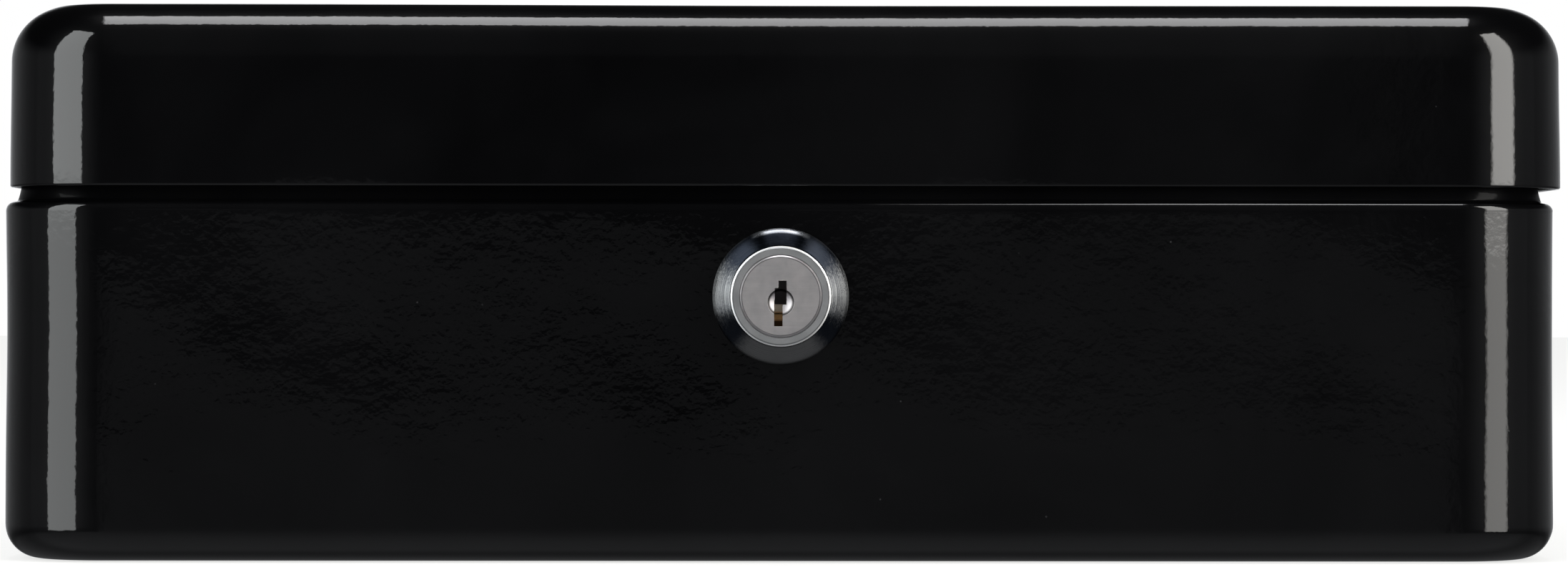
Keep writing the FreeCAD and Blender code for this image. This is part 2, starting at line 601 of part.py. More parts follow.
# ---------------------------------------------------------------- lid catch
def lid_catch():
    """Folded strap from the inside of the lid's front, back over the neck, then down beside
    the lock. The locked cam lies across the hook at its lower end and holds the lid down."""
    x = -13.6                       # left face of the hanging plate, before the lid's play
    thick = 1.2
    z_bridge, z_hook, z_end = Z_NECK + 0.1, LOCK_Z - 4.6, LOCK_Z - 9.6
    z_top = z_bridge + thick
    flange_top, bridge_back, hang_front, hang_back = 78.0, -79.5, -82.0, -76.5

    flange = box(x - 9, x + 8, FRONT_IN, FRONT_IN + thick, z_bridge, flange_top)
    flange = flange.makeFillet(2.5, straight_edges(flange, "Y", "Z", flange_top))
    bridge = box(x - 9, x + 8, FRONT_IN, bridge_back, z_bridge, z_top)
    bridge = bridge.makeFillet(2.5, straight_edges(bridge, "Z", "Y", bridge_back))
    bridge = bridge.fuse(box(x, x + 5, -83.0, bridge_back, z_bridge, z_top))
    bridge = bridge.fuse(box(x, x + 3, -83.0, hang_back, z_bridge, z_top))
    # hanging plate and hook: (y, z)
    outline = [
        (hang_front, z_top), (hang_front, z_end + 2), (-80.0, z_end), (-73.0, z_end),
        (-71.0, z_end + 2), (-71.0, z_hook + 1.0), (-72.2, z_hook + 1.0), (-72.2, z_hook),
        (-77.2, z_hook), (-77.8, z_hook + 0.6), (-77.8, 61.5), (hang_back, 64.0),
        (hang_back, z_top)]
    hang = poly_prism([(x, y, z) for y, z in outline], (thick, 0, 0))
    # folded edge that stiffens the hanging plate
    stiffener = box(x, x + 3.6, hang_front, hang_front + thick, z_end + 2, z_top)
    stiffener = stiffener.makeFillet(1.5, straight_edges(stiffener, "Y", "Z", z_end + 2))
    catch = one(flange.fuse(bridge).fuse(hang).fuse(stiffener))
    catch.translate(LID_SHIFT)
    return catch


# ---------------------------------------------------------------- tray rails and coin tray
def tray_rail(side):
    """Angle on the side wall: an upright plate and a level shelf."""
    outer = W / 2 - SHEET
    half_len, shelf = 60, 8.2

    def strip(width, z0):
        xs = sorted((side * outer, side * (outer - width)))
        return box(*xs, -half_len, half_len, z0, RAIL_Z)

    upright, level = strip(SHEET, 25), strip(shelf, RAIL_Z - SHEET)
    nose = straight_edges(level, "Z", "X", side * (outer - shelf))
    return one(upright.fuse(level.makeFillet(3.0, nose)))


def coin_tray():
    t = TRAY_T
    x_in, y_in = TRAY_W / 2 - t, TRAY_D / 2 - t
    floor = TRAY_Z0 + t

    def inside(z0, z1):
        return rounded_block(2 * x_in, 2 * y_in, TRAY_R - t, z0, z1)

    def bin_block(w, d, cx, cy):
        return rounded_block(w, d, 6.0, floor, TRAY_Z1 + 5, cx, cy)

    tray = rounded_block(TRAY_W, TRAY_D, TRAY_R, TRAY_Z0, TRAY_Z1)
    # front: a bin at each side, and one in the middle behind the notch
    bins_back = CUP_Y0 - t
    side_x0, middle_y0 = NOTCH_X + t, NOTCH_Y + t
    bins = [bin_block(x_in - side_x0, bins_back + y_in,
                      side * (x_in + side_x0) / 2, (bins_back - y_in) / 2)
            for _, side in SIDES]
    bins.append(bin_block(2 * NOTCH_X, bins_back - middle_y0, 0, (bins_back + middle_y0) / 2))
    for cavity in bins:
        cavity = one(cavity.common(inside(TRAY_Z0, TRAY_Z1 + 10)))
        tray = tray.cut(cavity.makeFillet(3.0, flat_edges(cavity, floor)))
    notch_d = 40
    tray = tray.cut(rounded_block(2 * NOTCH_X, notch_d, 3.0, TRAY_Z0 - 5, TRAY_Z1 + 5,
                                  0, NOTCH_Y - notch_d / 2))
    # half-round cups along the back, the row hollow underneath
    cy, cz = (CUP_Y0 + y_in) / 2, floor + CUP_R
    cup_w = (2 * x_in - (CUPS - 1) * t) / CUPS
    under = box(-x_in, x_in, CUP_Y0, y_in, TRAY_Z0 - 1, TRAY_Z1 - 2)
    under = under.cut(cyl_x(CUP_R + t, -200, 200, cy, cz))
    tray = tray.cut(under.common(inside(TRAY_Z0 - 2, TRAY_Z1 + 2)))
    for i in range(CUPS):
        x0 = -x_in + i * (cup_w + t)
        x1 = x0 + cup_w
        cup = cyl_x(CUP_R, x0, x1, cy, cz).fuse(
            box(x0, x1, cy - CUP_R, cy + CUP_R, cz, cz + 20))
        cup = cup.common(inside(TRAY_Z0, TRAY_Z1 + 30))
        tray = tray.cut(cup.common(box(-200, 200, CUP_Y0, y_in, 0, 120)))
    return one(tray)


# ---------------------------------------------------------------- write every piece
put("base_shell", base_shell())
put("lid_shell", lid_shell())
put("carry_handle", carry_handle())
for name, side in SIDES:
    put(f"hinge_leaf_base_{name}", base_leaf(side * HINGE_X))
    put(f"hinge_leaf_lid_{name}", lid_leaf(side * HINGE_X))
    put(f"hinge_pin_{name}", hinge_pin(side * HINGE_X))
    put(f"handle_bracket_{name}", handle_bracket(side))
    put(f"tray_rail_{name}", tray_rail(side))
put("handle_rivets", *[rivet(side, dy) for _, side in SIDES for dy in (-RIVET_DY, RIVET_DY)])
put("lock_housing", lock_housing())
put("lock_rosette", lock_rosette())
put("lock_washer", lock_washer())
put("lock_nut", lock_nut())
put("lock_plug", lock_plug())
put("wafer_tumblers", *[wafer(y, low) for y, low in zip(WAFER_Y, WINDOW_LOW)])
put("wafer_springs", *[wafer_spring(y) for y in WAFER_Y])
put("plug_retaining_clip", retaining_clip())
put("stop_washer", stop_washer())
put("lock_cam", lock_cam())
put("cam_washer", cam_washer())
put("cam_screw", cam_screw())
put("lid_catch", lid_catch())
put("coin_tray", coin_tray())
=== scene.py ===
# Black enamelled steel cash box with a recessed carry handle, a front lock and a coin tray.
# The box is centred on the Z axis and stands on z = 0. X runs along its width, the front
# faces -Y. The pressed body and lid are built here in millimetres; the other pieces are the
# CAD parts, which only receive materials. Materials, lights and camera are in metres.
import math
from functools import cached_property

import bmesh
import bpy
import numpy as np
from mathutils import Matrix, Vector


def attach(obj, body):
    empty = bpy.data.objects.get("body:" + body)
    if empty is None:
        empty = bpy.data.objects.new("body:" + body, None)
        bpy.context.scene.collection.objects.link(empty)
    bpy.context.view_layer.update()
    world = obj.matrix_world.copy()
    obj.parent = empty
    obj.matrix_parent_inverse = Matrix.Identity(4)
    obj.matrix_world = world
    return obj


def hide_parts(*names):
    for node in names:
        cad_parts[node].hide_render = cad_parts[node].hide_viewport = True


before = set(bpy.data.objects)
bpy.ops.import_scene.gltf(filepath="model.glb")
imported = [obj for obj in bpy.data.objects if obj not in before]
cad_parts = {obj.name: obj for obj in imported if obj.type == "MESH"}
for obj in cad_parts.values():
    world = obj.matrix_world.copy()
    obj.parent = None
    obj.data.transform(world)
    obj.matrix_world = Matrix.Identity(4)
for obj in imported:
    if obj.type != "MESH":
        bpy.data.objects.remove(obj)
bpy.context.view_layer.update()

MM = 0.001

# ---------------------------------------------------------------- driving sizes, millimetres
WIDTH, DEPTH, HEIGHT = 250.0, 180.0, 89.0
SHEET = 0.8                   # sheet thickness
CORNER_R = 17.0               # upright corners
BOTTOM_R = 5.6                # bend between floor and walls
TOP_R = 9.2                   # bend between lid top and skirt
SHOULDER_Z, SHOULDER_R = 57.3, 1.4
NECK_TOP = 67.0
LID_BOTTOM = 59.6
LID_SHIFT = 1.0               # the lid sits this far towards +X
LOCK_Z = 42.2                 # the lock's axis runs along Y at this height

# Handle well in the lid, measured at its floor
WELL_WIDTH, WELL_DEPTH, WELL_R = 120.0, 54.0, 9.0
WELL_DROP, WELL_DRAFT = 9.0, 2.0
WELL_Z = HEIGHT - WELL_DROP

# Steps along one X side, one Y side and one corner of every ring
STEPS_X, STEPS_Y, STEPS_CORNER = 46, 32, 20


# ---------------------------------------------------------------- rings and profiles
def ring(width, depth, radius):
    """Points and outward directions round a rounded rectangle, always in the same order."""
    hx, hy = width / 2, depth / 2
    cx, cy = hx - radius, hy - radius
    # side start, side end, outward direction, steps, next corner's centre and first angle
    sides = (
        ((-cx, -hy), (cx, -hy), (0, -1), STEPS_X, (cx, -cy), -90.0),
        ((hx, -cy), (hx, cy), (1, 0), STEPS_Y, (cx, cy), 0.0),
        ((cx, hy), (-cx, hy), (0, 1), STEPS_X, (-cx, cy), 90.0),
        ((-hx, cy), (-hx, -cy), (-1, 0), STEPS_Y, (-cx, -cy), 180.0),
    )
    points, directions = [], []
    for start, end, outward, steps, centre, first in sides:
        for i in range(steps):
            t = i / steps
            points.append([a + (b - a) * t for a, b in zip(start, end)])
            directions.append(outward)
        for i in range(STEPS_CORNER):
            angle = math.radians(first + 90.0 * i / STEPS_CORNER)
            outward = (math.cos(angle), math.sin(angle))
            points.append([c + radius * n for c, n in zip(centre, outward)])
            directions.append(outward)
    return points, directions


def inset_ring(inset):
    """(point, direction) pairs round the box's outline, set in by `inset`."""
    radius = max(CORNER_R - inset, 1.2)
    return zip(*ring(WIDTH - 2 * inset, DEPTH - 2 * inset, radius))


def arc(centre, radius, start, end, steps):
    """Profile points on an arc. Angles in degrees: 0 adds to the first value, 90 is up."""
    angles = [math.radians(start + (end - start) * i / steps) for i in range(steps + 1)]
    return [(centre[0] + radius * math.cos(a), centre[1] + radius * math.sin(a))
            for a in angles]


def between(start, end, steps):
    """Points that split a straight run into steps, without its two ends."""
    return [tuple(a + (b - a) * i / steps for a, b in zip(start, end))
            for i in range(1, steps)]


def ease(start, end, x):
    """Smooth step from 0 at start to 1 at end."""
    t = min(1.0, max(0.0, (x - start) / (end - start)))
    return t * t * (3 - 2 * t)


def sheet_wave(x, y, z, amplitude):
    """Slight unevenness of pressed sheet, along its own normal."""
    long_wave = math.sin(x / 17.0 + z / 9.5 + 0.7) * math.cos(y / 23.0 - z / 21.0)
    short_wave = math.sin(x / 8.3 - y / 11.0 + z / 6.1 + 2.1)
    return amplitude * (long_wave + 0.6 * short_wave)


# ---------------------------------------------------------------- meshes
def solid(name, points, faces):
    """Object from millimetre points, its faces turned outwards."""
    mesh = bpy.data.meshes.new(name)
    mesh.from_pydata([tuple(p) for p in np.array(points) * MM], [], faces)
    bm = bmesh.new()
    bm.from_mesh(mesh)
    bmesh.ops.recalc_face_normals(bm, faces=bm.faces)
    bm.to_mesh(mesh)
    bm.free()
    ob = bpy.data.objects.new(name, mesh)
    bpy.context.scene.collection.objects.link(ob)
    return ob


def skin(name, loops):
    """Quads between neighbouring loops and a flat cap on the first and the last."""
    count = len(loops[0])
    faces = []
    for a in range(0, (len(loops) - 1) * count, count):
        b = a + count
        for j in range(count):
            k = (j + 1) % count
            faces.append((a + j, a + k, b + k, b + j))
    faces.append(tuple(range(count - 1, -1, -1)))
    faces.append(tuple(range((len(loops) - 1) * count, len(loops) * count)))
    return solid(name, np.vstack(loops), faces)


def prism(name, near, far):
    """Cutter between two matching outlines."""
    count = len(near)
    faces = [tuple(range(count)), tuple(range(2 * count - 1, count - 1, -1))]
    faces += [(i, i + count, (i + 1) % count + count, (i + 1) % count) for i in range(count)]
    return solid(name, near + far, faces)


def prism_y(name, outline, y0, y1):
    """Cutter with an outline in X and Z, run along Y."""
    return prism(name, [(x, y0, z) for x, z in outline], [(x, y1, z) for x, z in outline])


def cut(ob, cutters):
    """Subtract the cutters and remove them."""
    for cutter in cutters:
        modifier = ob.modifiers.new("cut", "BOOLEAN")
        modifier.operation = "DIFFERENCE"
        modifier.object = cutter
        modifier.solver = "EXACT"
    bpy.context.view_layer.update()
    depsgraph = bpy.context.evaluated_depsgraph_get()
    mesh = bpy.data.meshes.new_from_object(ob.evaluated_get(depsgraph))
    # The cuts leave a few slivers: weld them away
    bm = bmesh.new()
    bm.from_mesh(mesh)
    bmesh.ops.remove_doubles(bm, verts=bm.verts, dist=4e-6)
    bmesh.ops.dissolve_degenerate(bm, edges=bm.edges, dist=2e-6)
    bmesh.ops.holes_fill(bm, edges=[e for e in bm.edges if e.is_boundary], sides=6)
    bm.to_mesh(mesh)
    bm.free()
    ob.modifiers.clear()
    old = ob.data
    ob.data = mesh
    bpy.data.meshes.remove(old)
    for cutter in cutters:
        mesh = cutter.data
        bpy.data.objects.remove(cutter)
        bpy.data.meshes.remove(mesh)


def finish_shell(ob, part):
    """Smooth the shell, keep its bends sharp, and let it stand in for the CAD shell."""
    ob.data.polygons.foreach_set("use_smooth", [True] * len(ob.data.polygons))
    ob.data.set_sharp_from_angle(angle=math.radians(32.0))
    ob.data.update()
    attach(ob, part)
    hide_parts(part + "_shell")


# ---------------------------------------------------------------- body shell
FLOOR_INSETS = (60.0, 40.0)   # loops on the flat middle of the floor

# Bead pressed up into the floor: (inset, height)
FLOOR_BEAD = (
    (31.2, 0.0), (30.0, 0.0), (29.3, 0.08), (28.7, 0.45), (28.2, 0.85), (27.5, 1.0),
    (25.5, 1.0), (23.5, 1.0), (22.8, 0.85), (22.3, 0.45), (21.7, 0.08), (21.0, 0.0),
)
# Outer skin from the shoulder into the neck: (inset, height above the shoulder)
NECK_SWEEP = (
    (1.62, 0.03), (1.78, 0.12), (1.92, 0.30), (2.04, 0.58),
    (2.26, 1.35), (2.42, 2.1), (2.50, 2.9), (2.52, 3.8),
)
NECK_INSET = NECK_SWEEP[-1][0]
NECK_INNER = 2.1 + SHEET      # inset of the inner skin at the neck's foot
# Inner skin of the neck, downwards: (inset past NECK_INNER, height above the shoulder)
INNER_SWEEP = ((0.32, 3.6), (0.05, 1.2), (0.0, 0.4))
NECK_BEND_R, WALL_BEND_R = 1.0, 0.6   # inner bends under the neck and the shoulder

BODY_BOW = 0.30               # how far the walls bow in
BOW_Z, BOW_SPREAD = 36.0, 17.0
BODY_WAVE = 0.035

HOLE_R, HOLE_HALF_FLAT = 8.02, 7.47   # round lock hole with flats at its left and right
SLOT_X = 78.0                 # middle of each pair of slots
SLOT_SPANS = ((-18.3, -7.9), (7.9, 18.3))
SLOT_Z = (SHOULDER_Z - 1.7, SHOULDER_Z + 0.9)


def body_profile():
    """(inset, height) from the floor's middle, up the outside, over the neck and back inside."""
    floor_end = (BOTTOM_R + 1.2, 0.0)
    bend_z = SHOULDER_Z - SHOULDER_R
    wall_end = (0.0, bend_z - 0.2)
    edge_r = SHEET / 2
    edge_z = NECK_TOP - edge_r
    profile = [(inset, 0.0) for inset in FLOOR_INSETS] + list(FLOOR_BEAD)
    profile += between(FLOOR_BEAD[-1], floor_end, 4) + [floor_end]
    profile += arc((BOTTOM_R, BOTTOM_R), BOTTOM_R, -90, -180, 14)
    profile += between((0.0, BOTTOM_R), wall_end, 22) + [wall_end]
    profile += arc((SHOULDER_R, bend_z), SHOULDER_R, 180, 90, 9)
    profile += [(inset, SHOULDER_Z + rise) for inset, rise in NECK_SWEEP]
    profile += between(profile[-1], (NECK_INSET, edge_z), 4)
    profile += arc((NECK_INSET + edge_r, edge_z), edge_r, 180, 0, 8)

    ceiling = SHOULDER_Z - SHEET
    inner = [(NECK_INNER + step, SHOULDER_Z + rise) for step, rise in INNER_SWEEP]
    inner += arc((NECK_INNER - NECK_BEND_R, ceiling + NECK_BEND_R), NECK_BEND_R, 0, -90, 5)
    inner += arc((SHEET + WALL_BEND_R, ceiling - WALL_BEND_R), WALL_BEND_R, 90, 180, 5)
    inner += between(inner[-1], (SHEET, BOTTOM_R), 18)
    inner += arc((BOTTOM_R, BOTTOM_R), BOTTOM_R - SHEET, 180, 270, 10)
    profile += between(profile[-1], inner[0], 4) + inner
    profile += between(profile[-1], (20.4, SHEET), 4)
    profile += [(inset, z + SHEET) for inset, z in reversed(FLOOR_BEAD)]
    profile += [(inset, SHEET) for inset in reversed(FLOOR_INSETS)]
    return profile


def body_loop(inset, z):
    bow = BODY_BOW * math.exp(-((z - BOW_Z) / BOW_SPREAD) ** 2)
    amplitude = BODY_WAVE if 4 < z < 56 else 0.0
    points = []
    for (x, y), (nx, ny) in inset_ring(inset):
        # The right side bows less, and so do the front and back
        dent = bow * (0.75 if nx > 0.3 else 1.0) * (1.0 - 0.55 * abs(ny))
        dent += sheet_wave(x, y, z, amplitude)
        points.append((x - nx * dent, y - ny * dent, z))
    return points


def lock_hole():
    angles = [2 * math.pi * i / 72 for i in range(72)]
    outline = [(max(-HOLE_HALF_FLAT, min(HOLE_HALF_FLAT, HOLE_R * math.cos(a))),
                LOCK_Z + HOLE_R * math.sin(a)) for a in angles]
    return prism_y("hole", outline, -DEPTH / 2 - 2, -DEPTH / 2 + SHEET + 2)


def shoulder_slots():
    """Two pairs of slots in the shoulder at the back."""
    wall = DEPTH / 2 - SHEET
    low, high = SLOT_Z
    slots = []
    for middle in (-SLOT_X, SLOT_X):
        for start, end in SLOT_SPANS:
            x0, x1 = middle + start, middle + end
            outline = [(x0, low), (x1, low), (x1, high), (x0, high)]
            slots.append(prism_y("slot", outline, wall - 1.1, wall + 0.1))
    return slots


base = skin("base_shell_visual", [body_loop(inset, z) for inset, z in body_profile()])
cut(base, [lock_hole()] + shoulder_slots())
finish_shell(base, "base")


# ---------------------------------------------------------------- lid shell
LID_FLARE = 0.26              # outward flare at the skirt's lower edge
LID_WAVE, LIP_WAVE, BEND_WAVE = 0.035, 0.03, 0.02
FRONT_LEFT, FRONT_RIGHT = -0.42, 1.0  # shift of the front along Y, from left to right
TOP_DIP = 0.16                # shallow dip of the top near the front
TOP_FALL = 0.10               # drop of the top from the well's rim to its outer bend
LIP_R = 0.42                  # rounding of the skirt's lower edge
RIVET_X, RIVET_Y, RIVET_HALF_PITCH, RIVET_R = 50.8, 15.0, 6.8, 1.25


def lid_loop(inset, z, amplitude):
    """Loop of the lid with its sideways shift, flare, skewed front and dipped top."""
    flare = LID_FLARE * ease(80.0, LID_BOTTOM, z)
    points = []
    for (x, y), (nx, ny) in inset_ring(inset):
        push = flare - sheet_wave(x + 40, y, z, amplitude)
        back = FRONT_LEFT + (FRONT_RIGHT - FRONT_LEFT) * ease(-25.0, 75.0, x)
        back *= max(0.0, -y / (DEPTH / 2))
        dip = TOP_DIP * math.exp(-((x + 2.0) / 48.0) ** 2)
        dip *= ease(HEIGHT - 7, HEIGHT, z) * ease(-40, -80, y)
        points.append((x + nx * push + LID_SHIFT, y + ny * push + back, z - dip))
    return np.array(points)


def well_loop(grow, z):
    """Loop of the handle well, grown outwards from the outline of its floor."""
    radius = max(WELL_R + grow, 1.0)
    points, _ = ring(WELL_WIDTH + 2 * grow, WELL_DEPTH + 2 * grow, radius)
    return np.array([(x + LID_SHIFT, y, z) for x, y in points])


def well_profile(offset):
    """(growth, height) from the well's floor, up its drafted wall and over its rim."""
    floor_z = WELL_Z - offset
    floor_r, rim_r = 2.5 + 0.9 * offset, 1.8 - 0.9 * offset
    slope = WELL_DRAFT / WELL_DROP
    tilt = math.atan(slope)
    tilt_deg = math.degrees(tilt)
    bend_grow = offset - floor_r + floor_r * math.tan(tilt / 2)
    bend = arc((bend_grow, floor_z + floor_r), floor_r, -90, -tilt_deg, 8)
    rim_z = HEIGHT - offset - rim_r
    rim_grow = bend[-1][0] + (rim_z - bend[-1][1]) * slope
    rim_grow += rim_r * math.cos(tilt) + rim_r * math.sin(tilt) * slope
    rim = arc((rim_grow, rim_z), rim_r, 180 - tilt_deg, 90, 8)
    return [(-13.0, floor_z), (-7.0, floor_z)] + bend + between(bend[-1], rim[0], 5) + rim


def lid_side(offset):
    """One skin of the lid, `offset` under the outer one: from the well's floor to the lip."""
    loops = [well_loop(grow, z) for grow, z in well_profile(offset)]
    # Top, from the well's rim to the outer bend
    top_z = HEIGHT - offset
    rim = loops[-1]
    outer = lid_loop(TOP_R + 2.6, top_z, 0.0)
    for i in range(1, 9):
        t = i / 8
        loop = rim * (1 - t) + outer * t
        loop[:, 2] = top_z - TOP_FALL * t * t
        loops.append(loop)
    # Bend, sagging a little more before it meets the skirt
    bend_z = HEIGHT - TOP_R
    for i, (inset, z) in enumerate(arc((TOP_R, bend_z), TOP_R - offset, 90, 180, 22)):
        sag = TOP_FALL + 0.12 * ease(0, 6, i) - 0.22 * ease(4, 22, i)
        loops.append(lid_loop(inset, z - sag, BEND_WAVE * ease(2, 12, i)))
    # Skirt
    for i in range(1, 11):
        z = bend_z + (LID_BOTTOM + 0.45 - bend_z) * i / 10
        loops.append(lid_loop(offset, z, LID_WAVE))
    return loops


def rivet_hole(centre_x, centre_y):
    angles = [2 * math.pi * i / 24 for i in range(24)]
    near, far = ([(centre_x + RIVET_R * math.cos(a), centre_y + RIVET_R * math.sin(a), z)
                  for a in angles] for z in (WELL_Z - 3, WELL_Z + 3))
    return prism("rivet_hole", near, far)


lip_arc = arc((SHEET / 2, LID_BOTTOM + LIP_R), LIP_R, 180, 360, 10)[1:-1]
lip = [lid_loop(inset, z, LIP_WAVE) for inset, z in lip_arc]
lid = skin("lid_shell_visual", lid_side(0.0) + lip + lid_side(SHEET)[::-1])
cut(lid, [rivet_hole(x + LID_SHIFT, RIVET_Y + dy)
          for x in (-RIVET_X, RIVET_X)
          for dy in (-RIVET_HALF_PITCH, RIVET_HALF_PITCH)])
finish_shell(lid, "lid")


# ---------------------------------------------------------------- node trees
def opaque(colour):
    """RGB tuple with full alpha; a socket passes through."""
    return (*colour, 1.0) if isinstance(colour, tuple) else colour


class Nodes:
    """Builds the node tree of a material or world. Values are numbers, tuples or sockets."""

    def __init__(self, owner):
        self.owner = owner
        owner.use_nodes = True
        self.tree = owner.node_tree
        self.tree.nodes.clear()

    def node(self, kind, inputs=None, **props):
        node = self.tree.nodes.new("ShaderNode" + kind)
        for key, value in props.items():
            setattr(node, key, value)
        for key, value in (inputs or {}).items():
            if isinstance(value, bpy.types.NodeSocket):
                self.tree.links.new(value, node.inputs[key])
            else:
                node.inputs[key].default_value = value
        return node

    def math(self, operation, *values):
        return self.node("Math", dict(enumerate(values)), operation=operation).outputs[0]

    def times(self, a, b):
        return self.math("MULTIPLY", a, b)

    def plus(self, a, b):
        return self.math("ADD", a, b)

    def remap(self, value, span, to=(0.0, 1.0), kind="LINEAR"):
        """Carry the range `span` over to the range `to`, clamped."""
        inputs = dict(enumerate((value, *span, *to)))
        return self.node("MapRange", inputs, interpolation_type=kind).outputs[0]

    def soft(self, value, span, to=(0.0, 1.0)):
        """The same with soft ends."""
        return self.remap(value, span, to, "SMOOTHSTEP")

    def ramp(self, value, stops):
        """Colour ramp from (position, RGB) stops."""
        node = self.node("ValToRGB", {0: value})
        elements = node.color_ramp.elements
        while len(elements) < len(stops):
            elements.new(0.5)
        for element, (position, colour) in zip(elements, stops):
            element.position = position
            element.color = opaque(colour)
        return node.outputs[0]

    def axes(self, vector):
        return self.node("SeparateXYZ", {0: vector}).outputs


class Material(Nodes):
    """A Principled material. Lengths are in metres."""

    def __init__(self, name):
        super().__init__(bpy.data.materials.new(name))

    @cached_property
    def texture_space(self):
        return self.node("TexCoord").outputs["Object"]

    @cached_property
    def place(self):
        """Position in the part's own frame, so that marks move with it."""
        return self.node("TexCoord").outputs["Object"]

    def math(self, operation, a, b=0.0):
        return super().math(operation, a, b, 0.0)

    def vector(self, operation, *values, out=0):
        node = self.node("VectorMath", dict(enumerate(values)), operation=operation)
        return node.outputs[out]

    def combine(self, *values):
        return self.node("CombineXYZ", dict(enumerate(values))).outputs[0]

    def stretched(self, scale, turn=(0, 0, 0)):
        inputs = {"Vector": self.texture_space, "Scale": scale, "Rotation": turn}
        return self.node("Mapping", inputs).outputs[0]

    def noise(self, scale, detail=2.0, roughness=0.5, distortion=0.0, vector=None):
        return self.node("TexNoise", {
            "Vector": vector or self.texture_space, "Scale": scale, "Detail": detail,
            "Roughness": roughness, "Distortion": distortion}).outputs["Fac"]

    def streaks(self, scale, detail, roughness, turn=(0, 0, 0)):
        """Noise drawn out into lines by a different scale along each axis."""
        vector = self.stretched(scale, turn)
        return self.noise(scale=1.0, detail=detail, roughness=roughness, vector=vector)

    def rings(self, distance, scale, detail, roughness, offset=0.0):
        """Noise over the distance from an axis: turning marks."""
        vector = self.combine(self.times(distance, scale), offset, 0.0)
        return self.noise(scale=1.0, detail=detail, roughness=roughness, vector=vector)

    def cells(self, scale, feature="F1", out="Distance"):
        inputs = {"Vector": self.texture_space, "Scale": scale}
        return self.node("TexVoronoi", inputs, feature=feature).outputs[out]

    def specks(self, scale, size, patch_scale, patch):
        """Small dots, kept only where a coarser noise is high."""
        dots = self.remap(self.cells(scale), span=size, to=(1, 0))
        return self.times(dots, self.remap(self.noise(patch_scale, detail=1.0), span=patch))

    def band(self, value, rise, fall, peak=1.0):
        return self.times(self.remap(value, rise, (0, peak)), self.remap(value, fall, (1, 0)))

    def mix(self, factor, first, second):
        inputs = {0: factor, 6: opaque(first), 7: opaque(second)}
        return self.node("Mix", inputs, data_type="RGBA").outputs[2]

    def bump(self, height, distance, under=None):
        """Bump, laid over the normal `under` where one is given."""
        inputs = {"Height": height, "Distance": distance, "Strength": 1.0}
        if under is not None:
            inputs["Normal"] = under
        return self.node("Bump", inputs).outputs[0]

    def axis_distance(self, height):
        """Offset and distance from an axis that runs along Y at a height above the origin."""
        offset = self.vector("SUBTRACT", self.place, (0.0, 0.0, height))
        flat = self.vector("MULTIPLY", offset, (1, 0, 1))
        return offset, self.vector("LENGTH", flat, out="Value")

    def principled(self, **inputs):
        named = {key.replace("_", " "): value for key, value in inputs.items()}
        shader = self.node("BsdfPrincipled", named)
        self.node("OutputMaterial", {0: shader.outputs[0]})
        return self.owner


# ---------------------------------------------------------------- materials
def enamel(name, neck_top):
    """Gloss black powder coat: a soft base under a clear skin, with handling marks and dust."""
    mat = Material(name)
    # Orange peel in two sizes, and finer grit in the base only
    peel = mat.bump(mat.noise(scale=880.0), distance=0.0000125)
    peel = mat.bump(mat.noise(scale=190.0, detail=1.0), distance=0.000026, under=peel)
    grit = mat.bump(mat.noise(scale=3200.0, roughness=0.6), distance=0.000012, under=peel)

    haze = mat.noise(scale=22.0, detail=4.0, roughness=0.6, distortion=0.6)
    marks = mat.noise(scale=42.0, detail=3.0, roughness=0.7, distortion=0.2,
                      vector=mat.stretched(scale=(1.0, 1.0, 30.0), turn=(0.35, 0.55, 0.2)))
    marks = mat.remap(marks, span=(0.66, 0.80))
    specks = mat.specks(scale=240.0, size=(0.02, 0.05), patch_scale=60.0, patch=(0.60, 0.62))
    colour = mat.mix(mat.remap(haze, span=(0.35, 0.7)),
                     (0.0009, 0.0009, 0.0011), (0.0019, 0.0019, 0.0022))
    colour = mat.mix(mat.times(specks, 0.35), colour, (0.05, 0.05, 0.052))
    roughness = mat.remap(haze, span=(0.3, 0.75), to=(0.30, 0.38))
    coat = mat.remap(haze, span=(0.3, 0.75), to=(0.030, 0.055))
    coat = mat.plus(coat, mat.times(marks, 0.05))

    # A thin film of dust and wiped finger marks on whatever faces straight up
    normal = mat.node("NewGeometry").outputs["Normal"]
    level = mat.remap(mat.axes(normal)[2], span=(0.975, 0.995))
    dust = mat.noise(scale=75.0, detail=6.0, roughness=0.68, distortion=0.9)
    grains = mat.remap(mat.cells(scale=900.0), span=(0.05, 0.22), to=(1, 0))
    film = mat.plus(mat.remap(dust, span=(0.36, 0.72), to=(0.10, 0.75)),
                    mat.times(grains, 0.25))
    film = mat.times(film, level)
    colour = mat.mix(film, colour, (0.0165, 0.0162, 0.0158))
    coat = mat.plus(coat, mat.times(film, 0.07))

    # Painted shade under the lid's edge: the clear coat is taken off the neck, leaving only the soft
    # base, and off a band along the shoulder's edge
    x, _, z = mat.axes(mat.place)
    neck = mat.band(z, rise=(0.05745, 0.0577), fall=(neck_top, neck_top + 0.0003))
    shoulder_shade = mat.band(z, rise=(0.0550, 0.0557), fall=(0.05655, 0.05685))
    middle = mat.remap(mat.math("ABSOLUTE", x), span=(0.1060, 0.1085), to=(0.62, 0.0))
    lid_shade = mat.math("MAXIMUM", neck, mat.times(shoulder_shade, middle))
    clear = mat.math("SUBTRACT", 1.0, mat.times(lid_shade, 0.93))
    return mat.principled(
        Base_Color=colour, Roughness=roughness, Normal=grit, Specular_IOR_Level=0.035,
        Coat_Weight=clear, Coat_Roughness=coat, Coat_Normal=peel, Coat_IOR=1.5)


